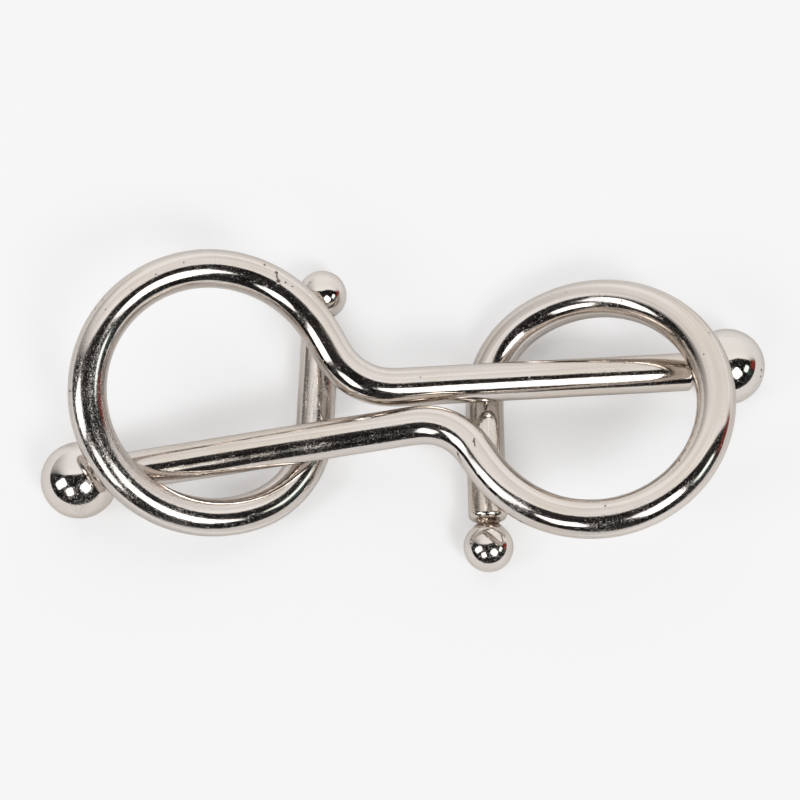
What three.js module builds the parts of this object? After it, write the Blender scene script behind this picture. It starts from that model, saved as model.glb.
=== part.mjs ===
// Wire disentanglement puzzle: two hooks bent from round bar, linked through each other.
// Each hook is a straight shaft with a large ball on its end, an S-bend, a ring of about
// three quarters of a turn that climbs down as it goes round, and a straight crossbar that
// passes under the S-bend and ends in a small ball. The balls are butt-welded to the bar,
// each with a short weld neck.
//
// Millimetres, +Z up. The puzzle lies on its balls and on the lowest bend of each ring.
// The origin is the middle of the footprint, on the surface that it lies on.

import * as THREE from 'three';

// ---------------------------------------------------------------- driving dimensions
const WIRE_DIAMETER = 4.0;          // round bar
const LARGE_BALL_DIAMETER = 8.0;    // on the shaft's end
const SMALL_BALL_DIAMETER = 5.2;    // on the crossbar's end
const LARGE_BALL_TO_ROD = 3.95;     // ball centre to the rod's end face
const SMALL_BALL_TO_ROD = 2.80;
const LARGE_BALL_FLAT = 3.52;       // ball centre to the spot that the weld flattens
const SMALL_BALL_FLAT = 2.35;
const LARGE_NECK_DIAMETER = 2.9;    // weld necks
const SMALL_NECK_DIAMETER = 2.2;
const WELD_GAP = 0.05;              // left between the separate solids at a weld

const WIRE_SIDES = 16;
const WIRE_STEPS = 120;
const BALL_SEGMENTS = 28;
const BALL_RINGS = 14;

// The two hooks are bent on the same jig, by hand, so they differ by a few tenths.
// Angles are in degrees. climb: the slope of the wire out of the hook's own plane, at the
// end of the link, after each quarter of the ring, and along the crossbar.
const HOOK_A = {
  shaft: 31.39,
  sBend: { radius: 6.59, turn: 65.22 },
  link: 1.99,
  ring: { radius: 12.93, skew: 0.010, oval: 0.104, sweep: 262.90 },
  barBend: { radius: 10.01, turn: 64.59 },
  bar: 11.76,
  climb: [0.63, 1.49, -8.56, -13.70, -10.74, 0.11],
  ballOffset: [-0.31, -0.18],
  at: [34.22, 2.65, 4.00],
  yaw: 5.03, pitch: 7.93, roll: 3.26,
};
const HOOK_B = {
  shaft: 31.56,
  sBend: { radius: 6.15, turn: 64.20 },
  link: 1.94,
  ring: { radius: 12.97, skew: 0.018, oval: 0.118, sweep: 265.09 },
  barBend: { radius: 9.93, turn: 62.59 },
  bar: 12.39,
  climb: [0.99, -1.06, -7.72, -13.66, -10.00, 0.07],
  ballOffset: [-0.11, 0.06],
  at: [-33.24, -9.49, 4.00],
  yaw: 187.51, pitch: 8.07, roll: 3.03,
};

// ---------------------------------------------------------------- materials
const nickel = (color, roughness) => new THREE.MeshStandardMaterial({ color, roughness, metalness: 1.0 });
const ROD_COLOR = 0xc9c2ba;
const BALL_COLOR = 0xcdc7c0;
const NECK_COLOR = 0xa89a8c;

const rad = THREE.MathUtils.degToRad;

// Value at x of the straight lines through the knots.
function along(knots, values, x) {
  if (x <= knots[0]) return values[0];
  for (let i = 1; i < knots.length; i++) {
    if (x <= knots[i]) {
      const t = (x - knots[i - 1]) / (knots[i] - knots[i - 1]);
      return values[i - 1] + t * (values[i] - values[i - 1]);
    }
  }
  return values[values.length - 1];
}

// The wire's centre line in the hook's own frame: the large ball's centre is the origin and
// the shaft runs towards -X. It is followed in short steps, each turned in the hook's plane
// by the bend it lies in, and sloped by the climb.
class HookLine extends THREE.Curve {
  constructor(h) {
    super();
    const lengths = [
      h.shaft,
      h.sBend.radius * rad(h.sBend.turn),
      h.link,
      h.ring.radius * rad(h.ring.sweep),
      h.barBend.radius * rad(h.barBend.turn),
      h.bar,
    ];
    const ends = [];
    lengths.reduce((s, l) => (ends.push(s + l), s + l), 0);
    const [shaftEnd, bendEnd, linkEnd, ringEnd, barStart, total] = ends;
    const ringAt = (t) => linkEnd + t * (ringEnd - linkEnd);
    const climbKnots = [0, shaftEnd, linkEnd, ringAt(0.25), ringAt(0.5), ringAt(0.75), ringAt(1), barStart, total];
    // the climb list starts with the link's end, and its last value holds along the crossbar
    const c = h.climb.map(rad);
    const climbValues = [0, 0, c[0], c[1], c[2], c[3], c[4], c[5], c[5]];
    const bend = (s) => {
      if (s < shaftEnd) return 0;
      if (s < bendEnd) return -1 / h.sBend.radius;
      if (s < linkEnd) return 0;
      if (s < ringEnd) {
        const u = 2 * (s - linkEnd) / (ringEnd - linkEnd) - 1;
        return 1 / (h.ring.radius * (1 + h.ring.skew * u + h.ring.oval * (u * u - 1 / 3)));
      }
      if (s < barStart) return 1 / h.barBend.radius;
      return 0;
    };
    const n = 2400;
    const ds = total / n;
    let heading = Math.PI;
    const p = new THREE.Vector3(-LARGE_BALL_TO_ROD, h.ballOffset[0], h.ballOffset[1]);
    this.points = [p.clone()];
    for (let i = 0; i < n; i++) {
      const s = (i + 0.5) * ds;
      const k = bend(s);
      const psi = heading + 0.5 * k * ds;
      const phi = along(climbKnots, climbValues, s);
      p.add(new THREE.Vector3(Math.cos(phi) * Math.cos(psi), Math.cos(phi) * Math.sin(psi), Math.sin(phi)).multiplyScalar(ds));
      heading += k * ds;
      this.points.push(p.clone());
    }
  }

  getPoint(t, target = new THREE.Vector3()) {
    const x = THREE.MathUtils.clamp(t, 0, 1) * (this.points.length - 1);
    const i = Math.min(Math.floor(x), this.points.length - 2);
    return target.lerpVectors(this.points[i], this.points[i + 1], x - i);
  }

  endDirection() {
    const p = this.points;
    return p[p.length - 1].clone().sub(p[p.length - 2]).normalize();
  }
}

function wireGeometry(line) {
  const r = WIRE_DIAMETER / 2;
  const outline = [];
  for (let i = 0; i < WIRE_SIDES; i++) {
    const a = (i + 0.5) * 2 * Math.PI / WIRE_SIDES;
    outline.push(new THREE.Vector2(r * Math.cos(a), r * Math.sin(a)));
  }
  line.arcLengthDivisions = 1200;
  return new THREE.ExtrudeGeometry(new THREE.Shape(outline), {
    extrudePath: line, steps: WIRE_STEPS, bevelEnabled: false,
  });
}

// A ball with a small flat towards +Y, where the weld is.
function ballGeometry(diameter, flat) {
  const r = diameter / 2;
  const top = Math.acos(flat / r);
  const profile = [new THREE.Vector2(0, -r)];
  for (let i = 1; i <= BALL_RINGS; i++) {
    const a = Math.PI - (Math.PI - top) * i / BALL_RINGS;
    profile.push(new THREE.Vector2(r * Math.sin(a), r * Math.cos(a)));
  }
  profile.push(new THREE.Vector2(0, flat));
  return new THREE.LatheGeometry(profile, BALL_SEGMENTS);
}

// The weld neck between the ball's flat and the rod's end face, along +Y from the ball's centre.
function neckGeometry(diameter, from, to) {
  const r = diameter / 2;
  const mid = (from + to) / 2;
  return new THREE.LatheGeometry([
    new THREE.Vector2(0, from),
    new THREE.Vector2(r, from),
    new THREE.Vector2(r * 0.94, mid),
    new THREE.Vector2(r, to),
    new THREE.Vector2(0, to),
  ], 24);
}

function mesh(name, geometry, material) {
  const m = new THREE.Mesh(geometry, material);
  m.name = name;
  return m;
}

function makeHook(h, letter) {
  const hook = new THREE.Group();
  const line = new HookLine(h);
  hook.add(mesh(`bent_rod_${letter}`, wireGeometry(line), nickel(ROD_COLOR, 0.12)));

  // large ball, at the hook's origin, with its weld towards the shaft
  const large = new THREE.Group();
  large.quaternion.setFromUnitVectors(new THREE.Vector3(0, 1, 0), new THREE.Vector3(-1, 0, 0));
  large.add(mesh(`large_ball_${letter}`, ballGeometry(LARGE_BALL_DIAMETER, LARGE_BALL_FLAT), nickel(BALL_COLOR, 0.08)));
  const largeNeck = mesh(`large_weld_neck_${letter}`,
    neckGeometry(LARGE_NECK_DIAMETER, LARGE_BALL_FLAT + WELD_GAP, LARGE_BALL_TO_ROD - WELD_GAP), nickel(NECK_COLOR, 0.3));
  large.add(largeNeck);
  hook.add(large);

  // small ball, past the crossbar's end
  const out = line.endDirection();
  const small = new THREE.Group();
  small.position.copy(line.getPoint(1)).addScaledVector(out, SMALL_BALL_TO_ROD);
  small.quaternion.setFromUnitVectors(new THREE.Vector3(0, 1, 0), out.clone().negate());
  small.add(mesh(`small_ball_${letter}`, ballGeometry(SMALL_BALL_DIAMETER, SMALL_BALL_FLAT), nickel(BALL_COLOR, 0.08)));
  small.add(mesh(`small_weld_neck_${letter}`,
    neckGeometry(SMALL_NECK_DIAMETER, SMALL_BALL_FLAT + WELD_GAP, SMALL_BALL_TO_ROD - WELD_GAP), nickel(NECK_COLOR, 0.3)));
  hook.add(small);

  hook.rotation.set(rad(h.roll), rad(h.pitch), rad(h.yaw), 'ZYX');
  hook.position.set(...h.at);
  return hook;
}

const puzzle = new THREE.Group();
puzzle.add(makeHook(HOOK_A, 'a'));
puzzle.add(makeHook(HOOK_B, 'b'));

// origin: middle of the footprint, on the surface
puzzle.updateMatrixWorld(true);
const box = new THREE.Box3().setFromObject(puzzle, true);
puzzle.position.set(-(box.min.x + box.max.x) / 2, -(box.min.y + box.max.y) / 2, -box.min.z);
puzzle.updateMatrixWorld(true);

export default puzzle;
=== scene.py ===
# Wire disentanglement puzzle: two hooks bent from round bar and nickel plated, lying linked on a white table.
# Everything is in metres and in the part's own frame.
import math

import bpy
import numpy as np
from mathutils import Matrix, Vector


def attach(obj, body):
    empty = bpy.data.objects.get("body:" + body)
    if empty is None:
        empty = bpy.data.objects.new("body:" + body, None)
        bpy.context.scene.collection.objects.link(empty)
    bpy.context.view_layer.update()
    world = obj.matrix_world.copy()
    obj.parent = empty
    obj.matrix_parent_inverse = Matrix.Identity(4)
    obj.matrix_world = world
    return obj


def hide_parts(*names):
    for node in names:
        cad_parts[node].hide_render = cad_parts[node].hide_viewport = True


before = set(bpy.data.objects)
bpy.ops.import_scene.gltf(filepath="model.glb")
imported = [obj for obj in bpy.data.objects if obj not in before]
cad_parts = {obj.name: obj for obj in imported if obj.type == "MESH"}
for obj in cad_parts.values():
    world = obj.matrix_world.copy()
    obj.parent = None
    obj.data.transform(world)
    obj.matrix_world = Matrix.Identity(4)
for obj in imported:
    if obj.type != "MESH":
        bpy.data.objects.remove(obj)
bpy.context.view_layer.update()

MM = 0.001
scene = bpy.context.scene

# ---------------------------------------------------------------- the hooks' shape, as in the part
WIRE_R = 2.0
LARGE_R, SMALL_R = 4.0, 2.6
LARGE_TO_ROD, SMALL_TO_ROD = 3.95, 2.80
SHIFT = np.array([-0.48928, 2.72895, -0.01911])   # from the bending frame to the part's frame, mm

HOOKS = {
    "a": dict(shaft=31.39, s_r=6.59, s_turn=65.22, link=1.99, ring_r=12.93, skew=0.010, oval=0.104, sweep=262.90,
              b_r=10.01, b_turn=64.59, bar=11.76, climb=(0.63, 1.49, -8.56, -13.70, -10.74, 0.11),
              off=(-0.31, -0.18), at=(34.22, 2.65, 4.00), yaw=5.03, pitch=7.93, roll=3.26),
    "b": dict(shaft=31.56, s_r=6.15, s_turn=64.20, link=1.94, ring_r=12.97, skew=0.018, oval=0.118, sweep=265.09,
              b_r=9.93, b_turn=62.59, bar=12.39, climb=(0.99, -1.06, -7.72, -13.66, -10.00, 0.07),
              off=(-0.11, 0.06), at=(-33.24, -9.49, 4.00), yaw=187.51, pitch=8.07, roll=3.03),
}


def centre_line(h):
    """Points of the bar's centre line, in mm in the part's frame, with the large ball's centre and the small ball's centre."""
    r = math.radians
    lengths = [h["shaft"], h["s_r"] * r(h["s_turn"]), h["link"], h["ring_r"] * r(h["sweep"]), h["b_r"] * r(h["b_turn"]), h["bar"]]
    ends = np.cumsum(lengths)
    e0, e1, e2, e3, e4, e5 = ends
    knots = [0, e0, e2] + [e2 + q * (e3 - e2) for q in (0.25, 0.5, 0.75, 1.0)] + [e4, e5]
    c = [r(v) for v in h["climb"]]
    values = [0, 0, c[0], c[1], c[2], c[3], c[4], c[5], c[5]]
    n = 6000
    ds = e5 / n
    s = (np.arange(n) + 0.5) * ds
    u = 2 * (s - e2) / (e3 - e2) - 1
    k = np.where(s < e0, 0, np.where(s < e1, -1 / h["s_r"], np.where(s < e2, 0, np.where(
        s < e3, 1 / (h["ring_r"] * (1 + h["skew"] * u + h["oval"] * (u * u - 1 / 3))), np.where(s < e4, 1 / h["b_r"], 0)))))
    psi = math.pi + np.cumsum(k) * ds - 0.5 * k * ds
    phi = np.interp(s, knots, values)
    step = np.stack([np.cos(phi) * np.cos(psi), np.cos(phi) * np.sin(psi), np.sin(phi)], 1) * ds
    p = np.vstack([[0, 0, 0], np.cumsum(step, 0)]) + np.array([-LARGE_TO_ROD, h["off"][0], h["off"][1]])
    a, b, g = r(h["roll"]), r(h["pitch"]), r(h["yaw"])
    rx = np.array([[1, 0, 0], [0, math.cos(a), -math.sin(a)], [0, math.sin(a), math.cos(a)]])
    ry = np.array([[math.cos(b), 0, math.sin(b)], [0, 1, 0], [-math.sin(b), 0, math.cos(b)]])
    rz = np.array([[math.cos(g), -math.sin(g), 0], [math.sin(g), math.cos(g), 0], [0, 0, 1]])
    m = rz @ ry @ rx
    at = np.array(h["at"]) + SHIFT
    p = p @ m.T + at
    d = p[-1] - p[-2]
    d /= np.linalg.norm(d)
    shaft = m @ np.array([-1.0, 0, 0])
    return p, at, p[-1] + d * SMALL_TO_ROD, shaft, d


def eased(p, length, width):
    """The same line with its bends eased in and out over about width mm, as a bar springs back."""
    n = len(p) - 1
    sigma = width / (length / n)
    half = int(3 * sigma)
    w = np.exp(-0.5 * (np.arange(-half, half + 1) / sigma) ** 2)
    w /= w.sum()
    first, last = p[1] - p[0], p[-1] - p[-2]
    lead = p[0] - first * np.arange(half, 0, -1)[:, None]
    tail = p[-1] + last * np.arange(1, half + 1)[:, None]
    q = np.vstack([lead, p, tail])
    return np.stack([np.convolve(q[:, i], w, "valid") for i in range(3)], 1)


# ---------------------------------------------------------------- mesh helpers
def to_object(name, verts_mm, faces, smooth=True, uvs=None):
    me = bpy.data.meshes.new(name)
    me.from_pydata([tuple(v) for v in (np.asarray(verts_mm) * MM)], [], faces)
    me.validate()
    if uvs is not None:
        layer = me.uv_layers.new(name="UVMap")
        loops = np.empty(len(me.loops), np.int32)
        me.loops.foreach_get("vertex_index", loops)
        layer.data.foreach_set("uv", np.asarray(uvs, np.float32)[loops].ravel())
    me.polygons.foreach_set("use_smooth", [smooth] * len(me.polygons))
    me.update()
    o = bpy.data.objects.new(name, me)
    scene.collection.objects.link(o)
    return o


def waves(seed, count, low, high):
    """A smooth random function of a point, in mm: a sum of plane waves with lengths from low to high mm."""
    g = np.random.default_rng(seed)
    k = g.normal(size=(count, 3))
    k /= np.linalg.norm(k, axis=1, keepdims=True)
    k *= (2 * np.pi / np.exp(g.uniform(np.log(low), np.log(high), count)))[:, None]
    ph = g.uniform(0, 2 * np.pi, count)
    amp = 1 / np.sqrt(count)
    return lambda x: (np.sin(x @ k.T + ph) * amp).sum(-1)


# Small dents and nicks that the bars have, as (point in mm, radius mm, depth mm).
NICKS = {
    "a": [((-14.31, 13.92, 12.91), 0.16, 0.05), ((-13.71, 13.61, 12.83), 0.10, 0.04), ((-13.07, 13.10, 12.82), 0.22, 0.07),
          ((-13.02, 12.62, 12.98), 0.17, 0.06), ((-12.87, 12.14, 12.98), 0.22, 0.07), ((-12.16, 12.05, 12.81), 0.15, 0.05),
          ((-11.45, 11.67, 12.65), 0.12, 0.04), ((-31.36, 8.91, 14.19), 0.13, 0.04), ((-30.64, 9.84, 14.29), 0.15, 0.05),
          ((-25.20, 12.29, 14.91), 0.12, 0.04), ((-22.43, 13.64, 14.58), 0.12, 0.04), ((-20.97, 15.37, 13.36), 0.10, 0.04),
          ((-33.89, 0.63, 12.87), 0.20, 0.06)],
    "b": [((6.97, -4.38, 11.99), 0.20, 0.07), ((7.05, -4.75, 11.95), 0.13, 0.05), ((5.32, -5.42, 10.98), 0.18, 0.05),
          ((19.93, -11.34, 14.02), 0.14, 0.05), ((25.73, 12.83, 8.54), 0.12, 0.04), ((20.79, 13.51, 7.68), 0.12, 0.04),
          ((31.07, 6.99, 11.93), 0.14, 0.05), ((30.27, 4.49, 12.84), 0.12, 0.04)],
}

ROUND = 96          # facets round the bar


def rod(letter):
    h = HOOKS[letter]
    p, large, small, shaft, out = centre_line(h)
    length = np.linalg.norm(np.diff(p, axis=0), axis=1).sum()
    p = eased(p, length, 0.8)
    seg = np.linalg.norm(np.diff(p, axis=0), axis=1)
    s_all = np.r_[0, np.cumsum(seg)]
    total = s_all[-1]
    # rings along the bar: 0.16 mm apart, closer over the nicks
    dense = np.full(4000, 1 / 0.16)
    grid = np.linspace(0, total, 4000)
    for c, r, _ in NICKS[letter]:
        i = np.linalg.norm(p - np.array(c), axis=1).argmin()
        dense += np.exp(-0.5 * ((grid - s_all[i]) / 0.35) ** 2) * (1 / 0.055)
    dense = np.minimum(dense, 1 / 0.05)
    cum = np.r_[0, np.cumsum((dense[1:] + dense[:-1]) / 2 * np.diff(grid))]
    corner_a, corner_b = 0.42, 0.62     # rounded edges of the bar's two ends
    count = int(cum[-1])
    s = np.interp(np.linspace(cum[0], cum[-1], count), cum, grid)
    s = s[(s > corner_a) & (s < total - corner_b)]
    s = np.r_[corner_a, s, total - corner_b]
    at = np.stack([np.interp(s, s_all, p[:, i]) for i in range(3)], 1)
    tan = np.stack([np.interp(s, s_all, np.gradient(p[:, i], s_all)) for i in range(3)], 1)
    tan /= np.linalg.norm(tan, axis=1, keepdims=True)
    # a frame that doesn't twist: the side vector is carried along
    side = np.cross([0, 0, 1.0], tan[0])
    side /= np.linalg.norm(side)
    sides = [side]
    for i in range(1, len(tan)):
        v = sides[-1] - tan[i] * (sides[-1] @ tan[i])
        sides.append(v / np.linalg.norm(v))
    a = np.array(sides)
    b = np.cross(tan, a)
    ang = np.arange(ROUND) / ROUND * 2 * np.pi - np.pi / 2
    ring = a[:, None] * np.cos(ang)[None, :, None] + b[:, None] * np.sin(ang)[None, :, None]
    body = at[:, None] + WIRE_R * ring
    # the bar isn't a perfect cylinder: very slight waves from rolling and bending
    wave = waves(11 if letter == "a" else 12, 40, 5.0, 16.0)
    ripple = waves(21 if letter == "a" else 22, 60, 1.6, 4.0)
    flat = body.reshape(-1, 3)
    off = 0.0075 * wave(flat) + 0.0011 * ripple(flat) - 0.006
    for c, r, depth in NICKS[letter]:
        d = np.linalg.norm(flat - np.array(c), axis=1)
        rim = np.exp(-((d / r - 1.25) / 0.35) ** 2) * 0.18
        off -= depth * (np.exp(-(d / r) ** 2 * 1.6) - rim)
    body = body + off.reshape(body.shape[:2])[..., None] * ring
    rings = [body]
    svals = [s]

    def end(point, direction, ring_dir, corner, inner, s_end, sign):
        out_rings, out_s = [], []
        for k in range(1, 9):
            f = k / 8 * math.pi / 2
            rad = WIRE_R - 0.006 - corner + corner * math.cos(f)
            ax = -corner + corner * math.sin(f)
            out_rings.append(point + direction * ax + ring_dir * rad)
            out_s.append(s_end + sign * ax)
        for rad in np.linspace(WIRE_R - corner, 0.12, 7)[1:]:
            out_rings.append(point + direction * (inner * (1 - rad / WIRE_R) ** 2) + ring_dir * rad)
            out_s.append(s_end)
        return out_rings, out_s

    tip0 = at[0] - tan[0] * corner_a
    tip1 = at[-1] + tan[-1] * corner_b
    r0, s0 = end(tip0, -tan[0], ring[0], corner_a, 0.0, 0.0, -1)
    r1, s1 = end(tip1, tan[-1], ring[-1], corner_b, 0.12, total, 1)
    stack = np.concatenate([np.array(r0[::-1]), body, np.array(r1)], 0)
    sv = np.r_[s0[::-1], s, s1]
    m = len(stack)
    verts = stack.reshape(-1, 3)
    faces = []
    for i in range(m - 1):
        o0, o1 = i * ROUND, (i + 1) * ROUND
        for j in range(ROUND):
            j2 = (j + 1) % ROUND
            faces.append((o0 + j, o0 + j2, o1 + j2, o1 + j))
    c0, c1 = len(verts), len(verts) + 1
    verts = np.vstack([verts, tip0, tip1 + tan[-1] * 0.12])
    for j in range(ROUND):
        j2 = (j + 1) % ROUND
        faces.append((c0, j2, j))
        faces.append((c1, (m - 1) * ROUND + j, (m - 1) * ROUND + j2))
    v_round = np.abs(((ang + np.pi / 2) / (2 * np.pi)) * 2 - 1)          # mirrored, so that it closes without a seam
    uv = np.stack([np.repeat(sv, ROUND) / 10.0, np.tile(v_round, m)], 1)
    uv = np.vstack([uv, [[0, 0], [total / 10.0, 0]]])
    o = to_object("bar_" + letter, verts, faces, uvs=uv)
    return o, large, small, shaft, out


def lathe(name, centre, axis, profile, sides, displace=None):
    """A turned solid along axis from centre. profile is (radius, distance along the axis) in mm, starting and ending on the axis."""
    axis = np.asarray(axis, float)
    a = np.cross(axis, [0.3, 0.1, 1.0])
    a /= np.linalg.norm(a)
    b = np.cross(axis, a)
    ang = np.arange(sides) / sides * 2 * np.pi
    inner = profile[1:-1]
    rad = np.array([q[0] for q in inner])
    ax = np.array([q[1] for q in inner])
    ring = a * np.cos(ang)[:, None] + b * np.sin(ang)[:, None]
    v = centre + axis * ax[:, None, None] + ring[None] * rad[:, None, None]
    v = v.reshape(-1, 3)
    first, last = centre + axis * profile[0][1], centre + axis * profile[-1][1]
    if displace is not None:
        v = v + displace(v)
    m = len(inner)
    faces = [(i * sides + j, i * sides + (j + 1) % sides, (i + 1) * sides + (j + 1) % sides, (i + 1) * sides + j)
             for i in range(m - 1) for j in range(sides)]
    c0, c1 = len(v), len(v) + 1
    v = np.vstack([v, first, last])
    faces += [(c0, (j + 1) % sides, j) for j in range(sides)]
    faces += [(c1, (m - 1) * sides + j, (m - 1) * sides + (j + 1) % sides) for j in range(sides)]
    uv = np.zeros((len(v), 2))
    uv[: m * sides, 0] = np.repeat(ax, sides) / 10
    uv[: m * sides, 1] = np.tile(np.abs(ang / np.pi - 1), m)
    o = to_object(name, v, faces, uvs=uv)
    me = o.data
    import bmesh
    bm = bmesh.new()
    bm.from_mesh(me)
    bmesh.ops.recalc_face_normals(bm, faces=bm.faces)
    bm.to_mesh(me)
    bm.free()
    return o


def ball(name, centre, towards, radius, flat, seed):
    """A ball with a soft spot where the weld pulled it towards the bar."""
    top = math.acos(flat / radius)
    profile = [(0, -radius)]
    n = 72
    for i in range(1, n + 1):
        a = math.pi - (math.pi - top) * i / n
        profile.append((radius * math.sin(a), radius * math.cos(a)))
    edge = radius * math.sin(top)
    for f in (0.8, 0.55, 0.3, 0.1):
        profile.append((edge * f, flat))
    profile.append((0, flat))
    w = waves(seed, 30, 2.5, 7.0)
    c = np.asarray(centre)

    def lumps(v):
        d = v - c
        r = np.linalg.norm(d, axis=1, keepdims=True)
        return d / r * (0.006 * w(v)[:, None] - 0.005)

    return lathe(name, c, towards, profile, 144, lumps)


def neck(name, centre, towards, radius, start, end, seed):
    """The weld between a ball and its bar: a short rough collar."""
    n = 26
    profile = [(0, start)]
    for i in range(n + 1):
        t = i / n
        waist = 1 - 0.13 * math.sin(math.pi * t)
        flare = 0.10 * (math.exp(-t * 14) + math.exp(-(1 - t) * 14))
        profile.append((radius * (waist + flare - 0.06), start + (end - start) * t))
    profile.append((0, end))
    w1, w2 = waves(seed, 40, 0.5, 1.4), waves(seed + 1, 60, 0.18, 0.45)
    c, ax = np.asarray(centre), np.asarray(towards)

    def rough(v):
        d = v - c
        d = d - (d @ ax)[:, None] * ax
        r = np.linalg.norm(d, axis=1, keepdims=True)
        return d / np.maximum(r, 1e-6) * (0.075 * w1(v) + 0.028 * w2(v))[:, None]

    return lathe(name, c, ax, profile, 112, rough)


# ---------------------------------------------------------------- materials
class Nodes:
    """Short hand for a node tree."""

    def __init__(self, tree):
        self.t = tree
        tree.nodes.clear()

    def n(self, kind, **kw):
        node = self.t.nodes.new(kind)
        for k, v in kw.items():
            setattr(node, k, v)
        return node

    def link(self, a, b):
        self.t.links.new(a, b)

    def val(self, socket, v):
        if isinstance(v, bpy.types.NodeSocket):
            self.link(v, socket)
        else:
            socket.default_value = v

    def math(self, op, a, b=0.0, c=0.0, clamp=False):
        m = self.n("ShaderNodeMath", operation=op, use_clamp=clamp)
        self.val(m.inputs[0], a)
        self.val(m.inputs[1], b)
        if op in ("MULTIPLY_ADD", "SMOOTH_MIN", "SMOOTH_MAX", "COMPARE"):
            self.val(m.inputs[2], c)
        return m.outputs[0]

    def ramp(self, v, lo, hi, out_lo=0.0, out_hi=1.0, smooth=True):
        m = self.n("ShaderNodeMapRange", interpolation_type="SMOOTHSTEP" if smooth else "LINEAR", clamp=True)
        self.val(m.inputs[0], v)
        m.inputs[1].default_value, m.inputs[2].default_value = lo, hi
        m.inputs[3].default_value, m.inputs[4].default_value = out_lo, out_hi
        return m.outputs[0]

    def mix(self, f, a, b):
        m = self.n("ShaderNodeMix", data_type="RGBA")
        self.val(m.inputs[0], f)
        for s, v in ((m.inputs[6], a), (m.inputs[7], b)):
            if isinstance(v, bpy.types.NodeSocket):
                self.link(v, s)
            else:
                s.default_value = (*v, 1.0)
        return m.outputs[2]

    def noise(self, vec, scale, detail=2.0, rough=0.5, dist=0.0, dims="3D"):
        m = self.n("ShaderNodeTexNoise", noise_dimensions=dims)
        self.link(vec, m.inputs["Vector"])
        m.inputs["Scale"].default_value = scale
        m.inputs["Detail"].default_value = detail
        m.inputs["Roughness"].default_value = rough
        m.inputs["Distortion"].default_value = dist
        return m.outputs[0]

    def scaled(self, vec, s, rot=(0, 0, 0)):
        m = self.n("ShaderNodeMapping")
        self.link(vec, m.inputs["Vector"])
        m.inputs["Scale"].default_value = s
        m.inputs["Rotation"].default_value = rot
        return m.outputs[0]


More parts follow.
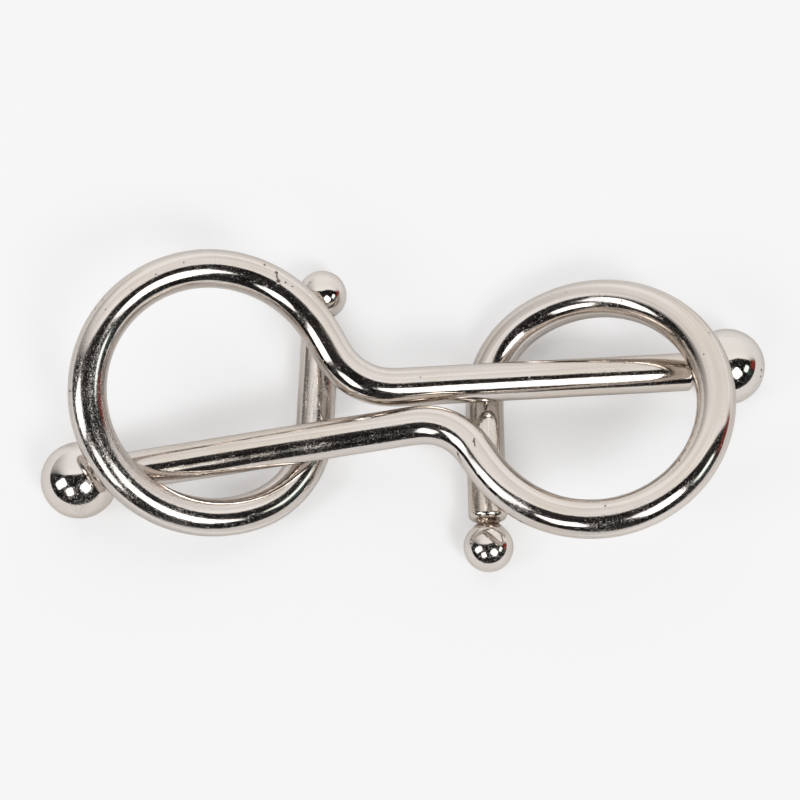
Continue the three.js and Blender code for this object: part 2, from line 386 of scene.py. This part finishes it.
def plate(name, color, rough=0.06, speckle=1.0, streaks=1.0, stain=0.5, spots=(), zones=(), pits=1.0, cracks=(), sparkle=0.22, worn=0.0):
    """Bright nickel plate: fine drawing lines along the bar, hairline scuffs, pinholes, and duller patches.
    spots are rusty pinholes at given points; zones are (point, radius) in mm where the plate is finely pitted;
    cracks are (start, end, half width) in mm where the plate has split; sparkle is how dull the single specks are."""
    mat = bpy.data.materials.new(name)
    mat.use_nodes = True
    k = Nodes(mat.node_tree)
    out = k.n("ShaderNodeOutputMaterial")
    bsdf = k.n("ShaderNodeBsdfPrincipled")
    k.link(bsdf.outputs[0], out.inputs[0])
    bsdf.inputs["Metallic"].default_value = 1.0
    bsdf.inputs["Base Color"].default_value = (*color, 1)
    bsdf.inputs["Specular Tint"].default_value = (0.74, 0.72, 0.70, 1)      # nickel dips a little towards grazing
    tc = k.n("ShaderNodeTexCoord")
    obj, uv = tc.outputs["Object"], tc.outputs["UV"]
    mm = k.scaled(obj, (1000, 1000, 1000))          # the point in mm

    # where the plate is finely pitted
    patch = k.ramp(k.noise(mm, 0.16, 2.0, 0.55), 0.54, 0.72)
    for c, r in zones:
        d = k.n("ShaderNodeVectorMath", operation="DISTANCE")
        k.link(mm, d.inputs[0])
        d.inputs[1].default_value = c
        patch = k.math("MAXIMUM", patch, k.ramp(d.outputs["Value"], r * 0.35, r, 1.0, 0.0))
    grain = k.noise(mm, 3.0, 3.0, 0.62)
    fine = k.noise(mm, 8.0, 2.0, 0.6)
    nodules = k.ramp(k.noise(mm, 4.6, 1.5, 0.55), 0.58, 0.72)
    specks = k.ramp(k.noise(mm, 6.2, 1.0, 0.5), 0.62, 0.74)

    # drawing lines along the bar, short scuffs along it, and a few hairlines across
    lines = k.noise(k.scaled(uv, (1.1, 46, 1)), 1.0, 3.0, 0.6, dims="2D")
    grooves = k.noise(k.scaled(uv, (0.7, 13, 1)), 1.0, 2.0, 0.55, dims="2D")
    scuffs = k.ramp(k.noise(k.scaled(uv, (8.0, 40, 1)), 1.0, 2.0, 0.6, dims="2D"), 0.58, 0.74)
    scuff_a = k.noise(k.scaled(mm, (0.25, 1.3, 0.7), (0.4, 0.2, 0.9)), 1.0, 0.0, 0.4, 0.1)
    scuff_b = k.noise(k.scaled(mm, (1.2, 0.3, 0.6), (0.9, 0.5, -0.4)), 1.0, 0.0, 0.4, 0.1)
    hair = k.math("MAXIMUM",
                  k.ramp(k.math("ABSOLUTE", k.math("SUBTRACT", scuff_a, 0.47)), 0.0, 0.0025, 1.0, 0.0),
                  k.ramp(k.math("ABSOLUTE", k.math("SUBTRACT", scuff_b, 0.55)), 0.0, 0.0022, 1.0, 0.0))
    hair = k.math("MULTIPLY", hair, k.ramp(k.noise(mm, 0.45, 2.0, 0.5), 0.50, 0.66, 0.0, 0.45))
    # a haze of dull points finer than the eye sees, thicker where the plate is pitted, with a few single specks and short lines
    dull = k.ramp(k.math("ADD", k.noise(mm, 14.0, 1.0, 0.5), k.math("MULTIPLY", patch, 0.06)), 0.61, 0.66)
    wear = k.math("ADD", k.math("MULTIPLY", patch, 0.050), k.ramp(k.noise(mm, 0.55, 2.0, 0.55), 0.42, 0.66, -0.02 + worn, 0.035 + worn))
    glint = k.ramp(k.math("ADD", k.noise(mm, 8.5, 1.0, 0.5), wear), 0.690, 0.725)
    short = k.noise(k.scaled(uv, (13.0, 38, 1)), 1.0, 1.0, 0.5, dims="2D")
    glint = k.math("MAXIMUM", glint, k.math("MULTIPLY", k.ramp(k.math("ADD", short, wear), 0.74, 0.79), streaks))

    # pinholes scattered over the plate
    v2 = k.n("ShaderNodeTexVoronoi", feature="F1")
    k.link(mm, v2.inputs["Vector"])
    v2.inputs["Scale"].default_value = 0.62
    sep = k.n("ShaderNodeSeparateColor")
    k.link(v2.outputs["Color"], sep.inputs[0])
    hole_r = k.ramp(sep.outputs[0], 0.55, 1.0, 0.0, 0.075, smooth=False)
    hole = k.ramp(k.math("SUBTRACT", v2.outputs["Distance"], hole_r), -0.03, 0.015, 1.0, 0.0)
    hole = k.math("MULTIPLY", hole, pits)
    rust = k.n("ShaderNodeValue")
    rust.outputs[0].default_value = 0.0
    rust = rust.outputs[0]
    for c, r in spots:
        d = k.n("ShaderNodeVectorMath", operation="DISTANCE")
        k.link(mm, d.inputs[0])
        d.inputs[1].default_value = c
        wob = k.math("ADD", d.outputs["Value"], k.math("MULTIPLY", k.math("SUBTRACT", fine, 0.5), r * 0.9))
        rust = k.math("MAXIMUM", rust, k.ramp(wob, r * 0.55, r * 1.15, 1.0, 0.0))
    for c0, c1, r in cracks:
        along_v = Vector(c1) - Vector(c0)
        rel = k.n("ShaderNodeVectorMath", operation="SUBTRACT")
        k.link(mm, rel.inputs[0])
        rel.inputs[1].default_value = c0
        dot = k.n("ShaderNodeVectorMath", operation="DOT_PRODUCT")
        k.link(rel.outputs[0], dot.inputs[0])
        dot.inputs[1].default_value = along_v / along_v.length_squared
        near = k.n("ShaderNodeVectorMath", operation="SCALE")
        near.inputs[0].default_value = along_v
        k.link(k.ramp(dot.outputs["Value"], 0.0, 1.0, smooth=False), near.inputs["Scale"])
        d = k.n("ShaderNodeVectorMath", operation="DISTANCE")
        k.link(rel.outputs[0], d.inputs[0])
        k.link(near.outputs[0], d.inputs[1])
        wob = k.math("ADD", d.outputs["Value"], k.math("MULTIPLY", k.math("SUBTRACT", grain, 0.5), r * 2.4))
        rust = k.math("MAXIMUM", rust, k.ramp(wob, r * 0.5, r * 1.1, 1.0, 0.0))
    dark = k.math("MAXIMUM", hole, rust)

    # colour: a warm grey metal, slightly browner in the stains, brown in the pinholes
    tint = k.noise(mm, 0.12, 3.0, 0.6)
    warm = tuple(c * f for c, f in zip(color, (0.97, 0.93, 0.87)))
    base = k.mix(k.math("MULTIPLY", k.ramp(tint, 0.42, 0.62), stain), color, warm)
    film = k.ramp(k.noise(mm, 0.5, 4.0, 0.65), 0.35, 0.75, 0.0, 0.10)
    base = k.mix(film, base, (0.60, 0.56, 0.52))
    bands = k.ramp(k.noise(k.scaled(uv, (0.22, 5.5, 1)), 1.0, 3.0, 0.55, dims="2D"), 0.38, 0.68, 0.0, 0.42 * streaks)
    base = k.mix(bands, base, tuple(c * 0.74 for c in color))
    pale = k.ramp(k.noise(k.scaled(uv, (0.3, 7.0, 1)), 1.3, 2.5, 0.5, dims="2D"), 0.46, 0.74, 0.0, 0.70 * streaks)
    base = k.mix(pale, base, tuple(min(c * 1.24, 1.0) for c in color))
    soot = k.math("MULTIPLY", k.ramp(grain, 0.52, 0.72, 0.0, 0.30), k.math("ADD", k.math("MULTIPLY", patch, 0.6), 0.1))
    base = k.mix(soot, base, tuple(c * 0.62 for c in color))
    base = k.mix(k.math("MULTIPLY", hair, 0.15), base, (0.80, 0.77, 0.74))
    base = k.mix(k.math("MULTIPLY", dark, 0.88), base, (0.13, 0.075, 0.05))
    k.link(base, bsdf.inputs["Base Color"])

    ro = k.ramp(k.noise(mm, 0.33, 3.0, 0.6), 0.3, 0.7, rough * 0.75, rough * 1.45)
    ro = k.math("ADD", ro, k.math("MULTIPLY", patch, 0.015 * speckle))
    ro = k.math("ADD", ro, k.math("MULTIPLY", hair, 0.10))
    ro = k.math("ADD", ro, k.math("MULTIPLY", dull, 0.15 * speckle))
    ro = k.math("ADD", ro, k.math("MULTIPLY", glint, sparkle))
    ro = k.math("ADD", ro, k.math("MULTIPLY", dark, 0.5), clamp=True)
    k.link(ro, bsdf.inputs["Roughness"])

    # bump, in metres: grain and nodules where the plate is rough, sparse specks everywhere, then the drawing lines
    rough_patch = k.math("ADD", k.math("MULTIPLY", patch, 0.45), 0.15)
    height = k.math("MULTIPLY", k.math("ADD", k.math("MULTIPLY", grain, 3.2), k.math("MULTIPLY", nodules, 4.2)), rough_patch)
    height = k.math("ADD", height, k.math("MULTIPLY", specks, k.math("ADD", k.math("MULTIPLY", patch, 2.6), 0.9)))
    b1 = k.n("ShaderNodeBump")
    b1.inputs["Strength"].default_value = 1.0
    b1.inputs["Distance"].default_value = 0.000001 * speckle
    k.link(height, b1.inputs["Height"])
    b2 = k.n("ShaderNodeBump")
    b2.inputs["Strength"].default_value = 1.0
    b2.inputs["Distance"].default_value = 0.000001
    along = k.math("ADD", k.math("MULTIPLY", lines, 2.0), k.math("ADD", k.math("MULTIPLY", grooves, 7.0), k.math("MULTIPLY", scuffs, k.math("ADD", k.math("MULTIPLY", patch, 1.3), 0.3))))
    k.link(k.math("MULTIPLY", along, streaks), b2.inputs["Height"])
    k.link(b1.outputs[0], b2.inputs["Normal"])
    b3 = k.n("ShaderNodeBump", invert=True)
    b3.inputs["Strength"].default_value = 1.0
    b3.inputs["Distance"].default_value = 0.00003
    k.link(k.math("ADD", k.math("MULTIPLY", dark, 1.0), k.math("MULTIPLY", hair, 0.05)), b3.inputs["Height"])
    k.link(b2.outputs[0], b3.inputs["Normal"])
    k.link(b3.outputs[0], bsdf.inputs["Normal"])
    return mat


NICKEL = (0.650, 0.600, 0.560)

rod_mat_a = plate("nickel_bar_a", NICKEL, rough=0.07, stain=0.7,
                  spots=[((-14.31, 13.92, 12.91), 0.16), ((-13.07, 13.10, 12.82), 0.22), ((-13.02, 12.62, 12.98), 0.15),
                         ((-12.87, 12.14, 12.98), 0.22), ((-12.16, 12.05, 12.81), 0.13), ((-11.45, 11.67, 12.65), 0.10),
                         ((-31.36, 8.91, 14.19), 0.10), ((-30.64, 9.84, 14.29), 0.12), ((-25.20, 12.29, 14.91), 0.10),
                         ((-22.43, 13.64, 14.58), 0.09), ((-20.97, 15.37, 13.36), 0.08), ((-33.89, 0.63, 12.87), 0.16),
                         ((-27.10, -10.19, 9.54), 0.08), ((-27.11, -11.16, 8.08), 0.09), ((-27.64, 10.67, 15.03), 0.07),
                         ((-30.23, 8.63, 14.90), 0.08), ((-33.89, -0.60, 12.48), 0.08)],
                  cracks=[((-13.07, 13.10, 12.82), (-13.02, 12.62, 12.98), 0.075), ((-13.02, 12.62, 12.98), (-12.87, 12.14, 12.98), 0.085),
                          ((-23.29, -10.85, 8.47), (-22.80, -10.97, 8.35), 0.06)],
                  zones=[((-34.0, 1.0, 13.0), 7.0), ((-31.0, -7.0, 10.5), 7.0), ((-24.0, -12.5, 7.0), 5.0), ((-8.0, 0.0, 3.0), 7.0)])
rod_mat_b = plate("nickel_bar_b", NICKEL, rough=0.07, stain=0.8,
                  spots=[((6.97, -4.38, 11.99), 0.17), ((5.32, -5.42, 10.98), 0.10), ((19.93, -11.34, 14.02), 0.12),
                         ((25.73, 12.83, 8.54), 0.09), ((20.79, 13.51, 7.68), 0.09), ((31.07, 6.99, 11.93), 0.12), ((30.27, 4.49, 12.84), 0.10),
                         ((23.55, 13.31, 8.33), 0.08), ((23.71, 12.85, 8.80), 0.06), ((16.86, 12.73, 6.62), 0.08), ((27.61, 10.40, 10.67), 0.07),
                         ((29.73, 9.40, 10.82), 0.06), ((32.33, 4.33, 12.58), 0.06)],
                  cracks=[((6.99, -4.06, 11.93), (7.07, -4.91, 12.06), 0.07), ((5.31, -5.28, 11.09), (5.73, -6.31, 10.78), 0.075)],
                  zones=[((-24.0, -6.0, 5.4), 3.0), ((-9.6, -3.2, 8.6), 3.2), ((20.0, -13.5, 12.0), 4.5), ((8.0, -6.0, 3.0), 7.0)])
ball_mat = plate("nickel_ball", (0.715, 0.668, 0.632), rough=0.03, speckle=0.8, streaks=0.0, stain=0.5,
                 sparkle=0.42, worn=0.012, spots=[((37.10, 4.52, 5.95), 0.16)], zones=[((-33.0, -9.0, 7.0), 3.2), ((8.5, -14.7, 4.9), 2.2)])


def weld():
    """A plated weld bead: bright lumps, with painted shade, dark brown, in the hollows between them."""
    mat = bpy.data.materials.new("nickel_weld")
    mat.use_nodes = True
    k = Nodes(mat.node_tree)
    out = k.n("ShaderNodeOutputMaterial")
    bsdf = k.n("ShaderNodeBsdfPrincipled")
    k.link(bsdf.outputs[0], out.inputs[0])
    bsdf.inputs["Metallic"].default_value = 1.0
    tc = k.n("ShaderNodeTexCoord")
    mm = k.scaled(tc.outputs["Object"], (1000, 1000, 1000))
    lumps = k.noise(mm, 1.5, 2.0, 0.55)
    grit = k.noise(mm, 5.0, 2.0, 0.6)
    hollow = k.ramp(k.math("ADD", lumps, k.math("MULTIPLY", k.math("SUBTRACT", grit, 0.5), 0.45)), 0.43, 0.57, 1.0, 0.0)
    base = k.mix(k.ramp(grit, 0.35, 0.7), (0.52, 0.44, 0.37), (0.26, 0.19, 0.14))
    # painted shade: the hollows between the lumps are darkened to a near black brown
    base = k.mix(k.math("MULTIPLY", hollow, 0.92), base, (0.075, 0.045, 0.030))
    k.link(base, bsdf.inputs["Base Color"])
    ro = k.math("ADD", k.ramp(grit, 0.3, 0.7, 0.07, 0.16), k.math("MULTIPLY", hollow, 0.28), clamp=True)
    k.link(ro, bsdf.inputs["Roughness"])
    b = k.n("ShaderNodeBump")
    b.inputs["Strength"].default_value = 1.0
    b.inputs["Distance"].default_value = 0.00006
    k.link(k.math("ADD", lumps, k.math("MULTIPLY", grit, 0.25)), b.inputs["Height"])
    k.link(b.outputs[0], bsdf.inputs["Normal"])
    return mat


weld_mat = weld()

# ---------------------------------------------------------------- the pieces
for letter, body in (("a", "hook_a"), ("b", "hook_b")):
    bar, large, small, shaft, out = rod(letter)
    bar.data.materials.append(rod_mat_a if letter == "a" else rod_mat_b)
    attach(bar, body)
    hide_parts("bent_rod_" + letter)

    big = ball("large_ball_tip_" + letter, large, shaft, LARGE_R, 3.60, 31 if letter == "a" else 32)
    big.data.materials.append(ball_mat)
    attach(big, "hook_a" if letter == "a" else "hook_b_large_ball")
    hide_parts("large_ball_" + letter)

    tiny = ball("small_ball_tip_" + letter, small, -out, SMALL_R, 2.38, 33 if letter == "a" else 34)
    tiny.data.materials.append(ball_mat)
    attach(tiny, body)
    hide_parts("small_ball_" + letter)

    n1 = neck("large_weld_" + letter, large, shaft, 1.50, 3.56, 3.99, 41 if letter == "a" else 43)
    n1.data.materials.append(weld_mat)
    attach(n1, body)
    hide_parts("large_weld_neck_" + letter)

    n2 = neck("small_weld_" + letter, small, -out, 1.38, 2.22, 2.92, 45 if letter == "a" else 47)
    n2.data.materials.append(weld_mat)
    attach(n2, body)
    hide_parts("small_weld_neck_" + letter)

# ---------------------------------------------------------------- table
def floor_material():
    mat = bpy.data.materials.new("white_table")
    mat.use_nodes = True
    k = Nodes(mat.node_tree)
    out = k.n("ShaderNodeOutputMaterial")
    bsdf = k.n("ShaderNodeBsdfPrincipled")
    k.link(bsdf.outputs[0], out.inputs[0])
    bsdf.inputs["Roughness"].default_value = 0.6
    bsdf.inputs["Specular IOR Level"].default_value = 0.2
    tc = k.n("ShaderNodeTexCoord")
    fine = k.noise(tc.outputs["Object"], 900.0, 3.0, 0.6)
    wide = k.noise(tc.outputs["Object"], 9.0, 2.0, 0.5)
    c = k.mix(k.ramp(wide, 0.3, 0.7), (0.82, 0.825, 0.835), (0.85, 0.85, 0.855))
    c = k.mix(k.ramp(fine, 0.45, 0.85, 0.0, 0.08), c, (0.76, 0.76, 0.77))
    k.link(c, bsdf.inputs["Base Color"])
    bsdf.inputs["Emission Color"].default_value = (1.0, 0.995, 0.995, 1)     # painted light: the table glows evenly, which lifts its shadows
    # painted light: the glow is stronger to the camera than in what the metal reflects, which lifts the shadows the
    # camera sees
    seen = k.n("ShaderNodeLightPath")
    k.link(k.math("MULTIPLY_ADD", seen.outputs["Is Camera Ray"], 0.095, 0.10), bsdf.inputs["Emission Strength"])
    return mat


bpy.ops.mesh.primitive_plane_add(size=6.0, location=(0, 0, 0))
table = bpy.context.object
table.name = "table"
table.data.materials.append(floor_material())

# ---------------------------------------------------------------- light
# A dark room with a white sweep behind the table and three softboxes in front, as directions round the puzzle.
# Each direction is laid out as (x, y) = its angle from straight up, in degrees, along its compass direction.
SKY_WHITE = 0.93
world = bpy.data.worlds.new("studio")
scene.world = world
world.use_nodes = True
k = Nodes(world.node_tree)
w_out = k.n("ShaderNodeOutputWorld")
bg = k.n("ShaderNodeBackground")
tc = k.n("ShaderNodeTexCoord")
sepv = k.n("ShaderNodeSeparateXYZ")
k.link(tc.outputs["Generated"], sepv.inputs[0])
dx, dy, dz = sepv.outputs
theta = k.math("MULTIPLY", k.math("ARCCOSINE", k.math("MINIMUM", k.math("MAXIMUM", dz, -1.0), 1.0)), 180 / math.pi)
flat_len = k.math("MAXIMUM", k.math("SQRT", k.math("ADD", k.math("MULTIPLY", dx, dx), k.math("MULTIPLY", dy, dy))), 1e-5)
mx = k.math("MULTIPLY", theta, k.math("DIVIDE", dx, flat_len))
my = k.math("MULTIPLY", theta, k.math("DIVIDE", dy, flat_len))


def softbox(cx, cy, hx, hy, turn, soft=2.5, corner=0.0):
    """1 inside a rectangle at (cx, cy), half size (hx, hy), turned by turn degrees, and 0 outside."""
    c, s = math.cos(math.radians(turn)), math.sin(math.radians(turn))
    ax, ay = k.math("SUBTRACT", mx, cx), k.math("SUBTRACT", my, cy)
    u = k.math("ADD", k.math("MULTIPLY", ax, c), k.math("MULTIPLY", ay, s))
    v = k.math("ADD", k.math("MULTIPLY", ax, -s), k.math("MULTIPLY", ay, c))
    du = k.math("SUBTRACT", k.math("ABSOLUTE", u), hx - corner)
    dv = k.math("SUBTRACT", k.math("ABSOLUTE", v), hy - corner)
    qu, qv = k.math("MAXIMUM", du, 0.0), k.math("MAXIMUM", dv, 0.0)
    d = k.math("ADD", k.math("SQRT", k.math("ADD", k.math("MULTIPLY", qu, qu), k.math("MULTIPLY", qv, qv))),
               k.math("MINIMUM", k.math("MAXIMUM", du, dv), 0.0))
    return k.ramp(k.math("SUBTRACT", d, corner), -soft, soft, 1.0, 0.0)


def black():
    return (0.0, 0.0, 0.0)


# the room: nearly black, a little brown overhead, with dim clutter low down in front
room = k.mix(k.ramp(theta, 10, 60), (0.0075, 0.0062, 0.0060), (0.0038, 0.0038, 0.0044))
haze = k.ramp(k.noise(tc.outputs["Generated"], 3.2, 3.0, 0.6), 0.42, 0.8, 0.0, 0.045)
room = k.mix(haze, room, (0.8, 0.8, 0.85))
clutter = k.math("MULTIPLY", k.ramp(k.noise(tc.outputs["Generated"], 7.5, 4.0, 0.65), 0.50, 0.78, 0.0, 0.15), k.ramp(theta, 54, 76))
room = k.mix(clutter, room, (0.62, 0.60, 0.56))
# the sweep: its top edge passes just behind straight up
edge = k.math("ADD", k.math("MULTIPLY", k.ramp(mx, -5.0, 30.0), 8.5), 4.5)
edge = k.math("ADD", edge, k.math("MULTIPLY", k.ramp(mx, -74.0, -30.0, 1.0, 0.0), 11.0))
above = k.math("SUBTRACT", my, edge)
leftness = k.ramp(mx, -78.0, -22.0, 1.0, 0.0)
sweep = k.mix(leftness, k.ramp(above, -2.0, 2.2), k.ramp(above, -6.0, 10.0))
side = k.math("MULTIPLY", k.ramp(mx, -78.0, -18.0, 0.50, 1.0), k.ramp(mx, 20.0, 90.0, 1.0, 0.88))
# the sweep is in shade near its edge on the left, and a little on the right
side = k.math("MULTIPLY", side, k.math("SUBTRACT", 1.0, k.math("MULTIPLY", leftness, k.ramp(above, 0.0, 30.0, 0.55, 0.0))))
side = k.math("MULTIPLY", side, k.math("SUBTRACT", 1.0, k.math("MULTIPLY", k.ramp(mx, 50.0, 84.0), k.ramp(above, 0.0, 22.0, 0.60, 0.0))))
glow = k.math("ADD", k.math("MULTIPLY", k.ramp(k.math("SUBTRACT", my, edge), 0.0, 26.0, 1.0, 0.0), 0.10), 0.92)
white = k.n("ShaderNodeCombineColor")
level = k.math("MULTIPLY", k.math("MULTIPLY", side, glow), SKY_WHITE)
k.link(level, white.inputs[0])
k.link(k.math("MULTIPLY", level, 0.992), white.inputs[1])
k.link(k.math("MULTIPLY", level, 0.985), white.inputs[2])
sky = k.mix(sweep, room, white.outputs[0])
# a red thing and a green thing at the right-hand edge of the table
sky = k.mix(softbox(81, 4, 9, 14, 0, 5.0), sky, (0.20, 0.036, 0.028))
sky = k.mix(softbox(66, -25, 6, 7, 0, 6.0), sky, (0.045, 0.075, 0.068))
# softboxes
L_POWER, M_POWER, R_POWER, S_POWER = 2.5, 3.2, 3.4, 1.6
L_CORE, R_CORE = 6.0, 11.0        # the lamp behind each cloth
for (cx, cy, hx, hy, turn, corner), power, col in (
        ((-50, -19, 16.5, 12.0, 24, 6), L_POWER, (1.0, 1.0, 1.0)),
        ((-50, -19, 7.0, 7.0, 24, 6), L_CORE, (1.0, 1.0, 1.0)),
        ((-24.0, -46.0, 10.2, 11.0, 14, 4), M_POWER, (1.0, 1.0, 0.99)),
        ((25.5, -33.5, 14.5, 13.0, -42, 6), R_POWER, (0.99, 1.0, 1.0)),
        ((25.5, -33.5, 7.0, 7.0, -42, 6), R_CORE, (0.99, 1.0, 1.0)),
        ((56, -16, 6.5, 10.5, -18, 4), S_POWER, (0.9, 1.0, 0.97))):
    sky = k.mix(softbox(cx, cy, hx, hy, turn, 2.4, corner), sky, tuple(power * c for c in col))
# the table's own horizon: below it nothing lights the puzzle
sky = k.mix(k.ramp(theta, 90.0, 91.0), sky, (0.8, 0.8, 0.81))
# what a camera sees past the table's edge is plain pale studio
lp = k.n("ShaderNodeLightPath")
sky = k.mix(lp.outputs["Is Camera Ray"], sky, (0.86, 0.865, 0.875))
k.link(sky, bg.inputs[0])
k.link(bg.outputs[0], w_out.inputs[0])
world.cycles.sampling_method = "MANUAL"
world.cycles.sample_map_resolution = 1024

# ---------------------------------------------------------------- camera
ELEV, DIST = math.radians(76.762), 0.27186
target = Vector((SHIFT[0] * MM, SHIFT[1] * MM, SHIFT[2] * MM))
cam_data = bpy.data.cameras.new("camera")
cam_data.sensor_fit = "HORIZONTAL"
cam_data.sensor_width = 36.0
cam_data.lens = 36.0 * 2562.5 / 800.0
cam_data.clip_start, cam_data.clip_end = 0.005, 20.0
cam = bpy.data.objects.new("camera", cam_data)
cam.location = target + Vector((0, -math.cos(ELEV), math.sin(ELEV))) * DIST
cam.rotation_euler = (math.pi / 2 - ELEV, 0, 0)
scene.collection.objects.link(cam)
scene.camera = cam

scene.view_settings.view_transform = "Standard"
scene.view_settings.look = "None"
scene.view_settings.exposure = 0.0
scene.view_settings.gamma = 1.0
# A film curve with a soft shoulder, so that the white table stays just short of clipping.
scene.view_settings.use_curve_mapping = True
film = scene.view_settings.curve_mapping
film.white_level = (2.0, 2.0, 2.0)
film.extend = "HORIZONTAL"
curve = film.curves[3]
SHOULDER = ((0.0, 0.0), (0.25, 0.31), (0.50, 0.635), (0.62, 0.775), (0.72, 0.868), (0.82, 0.915), (0.95, 0.94), (1.30, 0.962), (2.0, 1.0))
for x, y in SHOULDER[1:-1]:
    curve.points.new(x / 2.0, y)
curve.points[0].location = (0.0, 0.0)
curve.points[-1].location = (1.0, 1.0)
for q in curve.points:
    q.handle_type = "AUTO_CLAMPED"
film.update()
